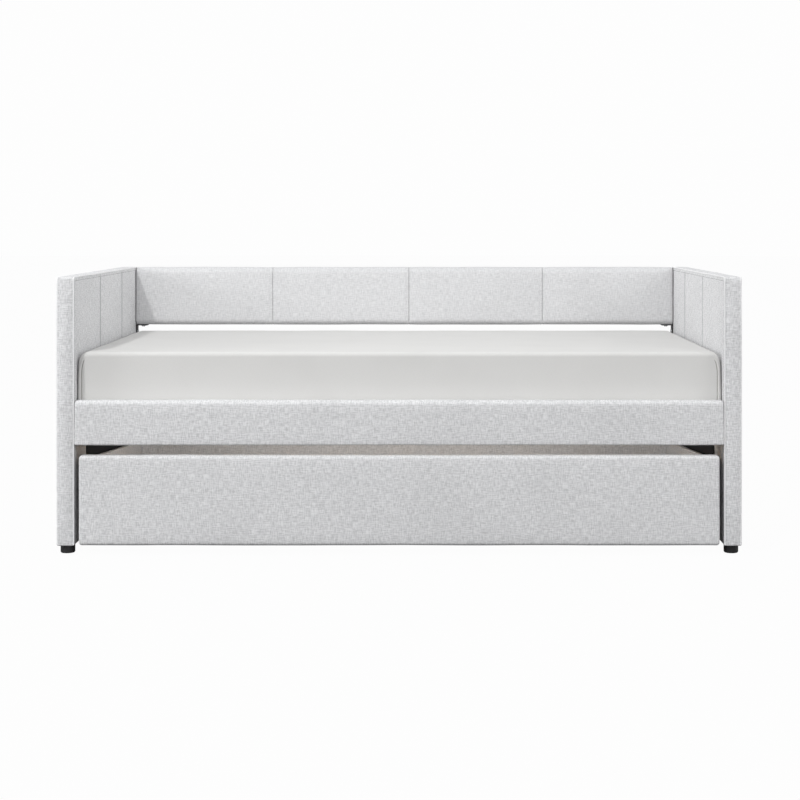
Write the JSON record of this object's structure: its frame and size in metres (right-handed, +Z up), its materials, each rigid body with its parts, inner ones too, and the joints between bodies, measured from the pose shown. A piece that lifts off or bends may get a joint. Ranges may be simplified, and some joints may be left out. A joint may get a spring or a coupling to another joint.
{
  "type": "trundle bed",
  "caption": "Upholstered daybed with slab arms, a low back panel, a mattress and a roll-out trundle on hidden casters.",
  "frame": {"origin": "on the floor, under the middle of the bed's length and depth", "axes": "+X to the right as seen from the front, -Y out of the front, +Z up"},
  "size_m": [2.026, 1.075, 0.82],
  "materials": {
    "upholstery": "light grey heathered linen-look weave",
    "ticking": "smooth off-white knitted mattress cover",
    "lining": "black non-woven cloth",
    "webbing": "off-white woven tape",
    "core_board": "bare board",
    "slat_wood": "planed pine",
    "black_steel": "black powder coat",
    "zinc_steel": "bright zinc plate",
    "foot_plastic": "matte black moulded plastic",
    "wheel_plastic": "dark grey moulded plastic"
  },
  "bodies": {
    "bed_frame": {"left_arm_core": "core_board", "left_arm_cover": "upholstery", "left_arm_lining": "lining", "right_arm_core": "core_board", "right_arm_cover": "upholstery", "right_arm_lining": "lining", "back_panel_core": "core_board", "back_panel_cover": "upholstery", "front_rail_core": "core_board", "front_rail_cover": "upholstery", "rear_rail_core": "core_board", "rear_rail_cover": "upholstery", "front_slat_ledge": "core_board", "rear_slat_ledge": "core_board", "ledge_screws": "zinc_steel", "rail_brackets": "black_steel", "back_panel_brackets": "black_steel", "frame_bolts": "zinc_steel", "foot_front_left": "foot_plastic", "foot_front_right": "foot_plastic", "foot_rear_left": "foot_plastic", "foot_rear_right": "foot_plastic", "foot_t_nuts": "zinc_steel", "slat_webbing": "webbing", "bed_slat_01": "slat_wood", "bed_slat_02": "slat_wood", "bed_slat_03": "slat_wood", "bed_slat_04": "slat_wood", "bed_slat_05": "slat_wood", "bed_slat_06": "slat_wood", "bed_slat_07": "slat_wood", "bed_slat_08": "slat_wood", "bed_slat_09": "slat_wood", "bed_slat_10": "slat_wood"},
    "mattress": {"mattress": "ticking"},
    "trundle": {"trundle_front_core": "core_board", "trundle_front_cover": "upholstery", "trundle_left_side": "upholstery", "trundle_right_side": "upholstery", "trundle_back_board": "upholstery", "trundle_front_cleat": "core_board", "trundle_rear_cleat": "core_board", "trundle_corner_brackets": "black_steel", "trundle_long_screws": "zinc_steel", "trundle_short_screws": "zinc_steel", "caster_brackets": "black_steel", "caster_axles": "zinc_steel", "trundle_slat_01": "slat_wood", "trundle_slat_02": "slat_wood", "trundle_slat_03": "slat_wood", "trundle_slat_04": "slat_wood", "trundle_slat_05": "slat_wood", "trundle_slat_06": "slat_wood", "trundle_slat_07": "slat_wood", "trundle_slat_08": "slat_wood", "trundle_slat_09": "slat_wood"},
    "wheel_front_left": {"wheel_front_left": "wheel_plastic"},
    "wheel_front_right": {"wheel_front_right": "wheel_plastic"},
    "wheel_rear_left": {"wheel_rear_left": "wheel_plastic"},
    "wheel_rear_right": {"wheel_rear_right": "wheel_plastic"}
  },
  "joints": [
    {"name": "trundle_slide", "type": "slide", "parent": "bed_frame", "child": "trundle", "axis": [0, -1, 0], "range_m": [0, 1]},
    {"name": "mattress_lift", "type": "slide", "parent": "bed_frame", "child": "mattress", "axis": [0, 0, 1], "range_m": [0, 0.45]},
    {"name": "wheel_front_left_spin", "type": "hinge", "parent": "trundle", "child": "wheel_front_left", "pos_m": [-0.9135, -0.3275, 0.025], "axis": [1, 0, 0], "continuous": true},
    {"name": "wheel_front_right_spin", "type": "hinge", "parent": "trundle", "child": "wheel_front_right", "pos_m": [0.9135, -0.3275, 0.025], "axis": [1, 0, 0], "continuous": true},
    {"name": "wheel_rear_left_spin", "type": "hinge", "parent": "trundle", "child": "wheel_rear_left", "pos_m": [-0.9135, 0.378, 0.025], "axis": [1, 0, 0], "continuous": true},
    {"name": "wheel_rear_right_spin", "type": "hinge", "parent": "trundle", "child": "wheel_rear_right", "pos_m": [0.9135, 0.378, 0.025], "axis": [1, 0, 0], "continuous": true}
  ],
  "couplings": [
    {"joint": "wheel_front_left_spin", "follows": "trundle_slide", "rad_per_m": 40},
    {"joint": "wheel_front_right_spin", "follows": "trundle_slide", "rad_per_m": 40},
    {"joint": "wheel_rear_left_spin", "follows": "trundle_slide", "rad_per_m": 40},
    {"joint": "wheel_rear_right_spin", "follows": "trundle_slide", "rad_per_m": 40}
  ]
}
